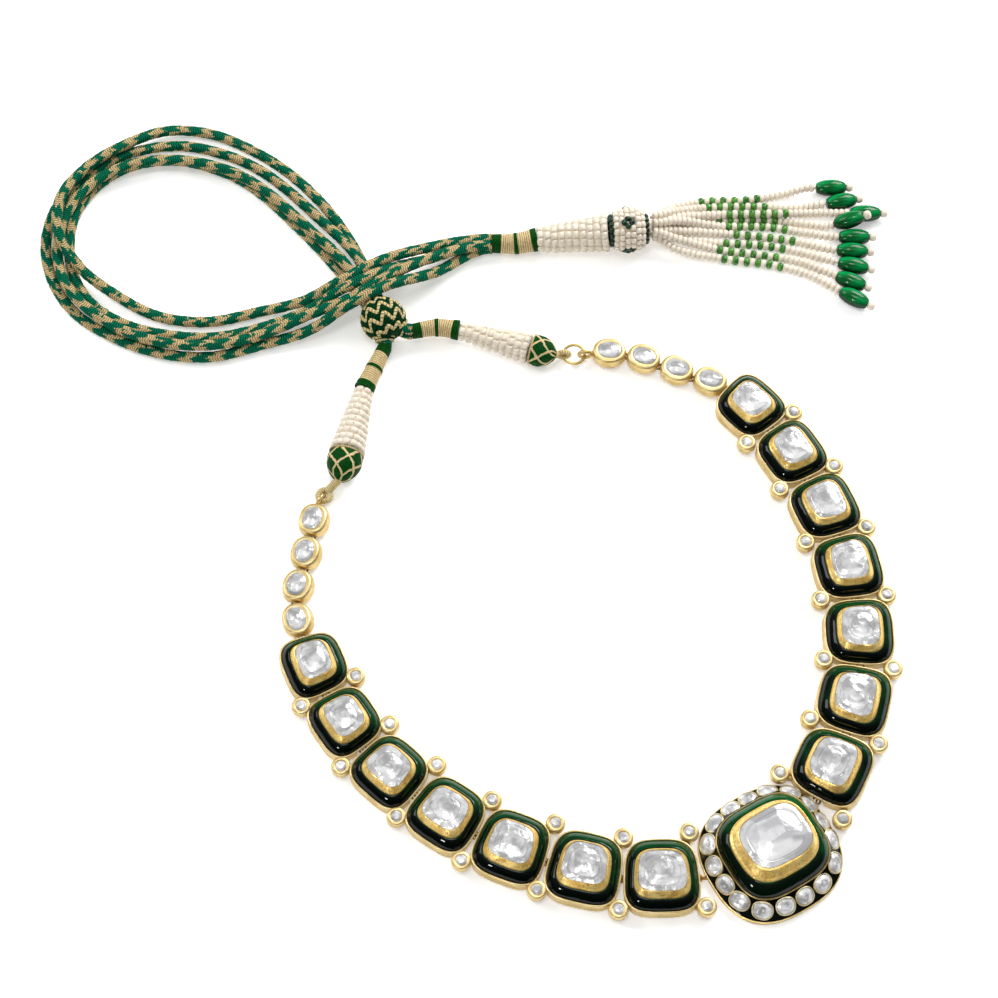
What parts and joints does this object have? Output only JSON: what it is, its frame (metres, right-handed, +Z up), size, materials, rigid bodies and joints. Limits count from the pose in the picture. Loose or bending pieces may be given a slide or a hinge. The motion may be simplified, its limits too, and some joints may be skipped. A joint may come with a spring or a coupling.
{
  "type": "kundan necklace",
  "caption": "Necklace of square stone-set enamelled links with a round pendant, closed by braided thread cords with a slider knot and a beaded tassel.",
  "frame": {"origin": "centre of the pendant's underside, on the surface that the necklace lies on", "axes": "+Z up from the surface, +Y from the pendant towards the cords and tassel, +X towards the tassel's drops"},
  "size_m": [0.1958, 0.1913, 0.0108],
  "materials": {
    "gold": "satin",
    "stone": "polished foiled crystal",
    "enamel": "glossy enamel",
    "thread": "silky green and gold thread",
    "beads": "glossy seed beads",
    "drops": "deep green glass"
  },
  "bodies": {
    "root": {"left_link_1": "gold", "left_link_2": "gold", "left_link_3": "gold", "left_link_4": "gold", "left_link_5": "gold", "left_link_6": "gold", "left_link_7": "gold", "right_link_1": "gold", "right_link_2": "gold", "right_link_3": "gold", "right_link_4": "gold", "right_link_5": "gold", "right_link_6": "gold", "right_link_7": "gold", "left_stone_1": "stone", "left_stone_2": "stone", "left_stone_3": "stone", "left_stone_4": "stone", "left_stone_5": "stone", "left_stone_6": "stone", "left_stone_7": "stone", "right_stone_1": "stone", "right_stone_2": "stone", "right_stone_3": "stone", "right_stone_4": "stone", "right_stone_5": "stone", "right_stone_6": "stone", "right_stone_7": "stone", "left_oval_1": "gold", "left_oval_2": "gold", "left_oval_3": "gold", "left_oval_4": "gold", "right_oval_1": "gold", "right_oval_2": "gold", "right_oval_3": "gold", "right_oval_4": "gold", "link_enamel": "enamel", "collet_stones": "stone", "oval_stones": "stone", "pendant_case": "gold", "pendant_border": "enamel", "pendant_enamel": "enamel", "pendant_stone": "stone", "petal_stones": "stone", "end_ring": "gold", "left_cap": "thread", "right_cap": "thread", "left_cone": "beads", "right_cone": "beads", "thread_wraps": "thread", "slider_knot": "thread", "cord_a": "thread", "cord_b": "thread", "cord_c": "thread", "cord_d": "thread", "tail_cone": "beads", "tail_ball": "beads", "tassel_strings": "beads", "tassel_drops": "drops"}
  },
  "joints": []
}
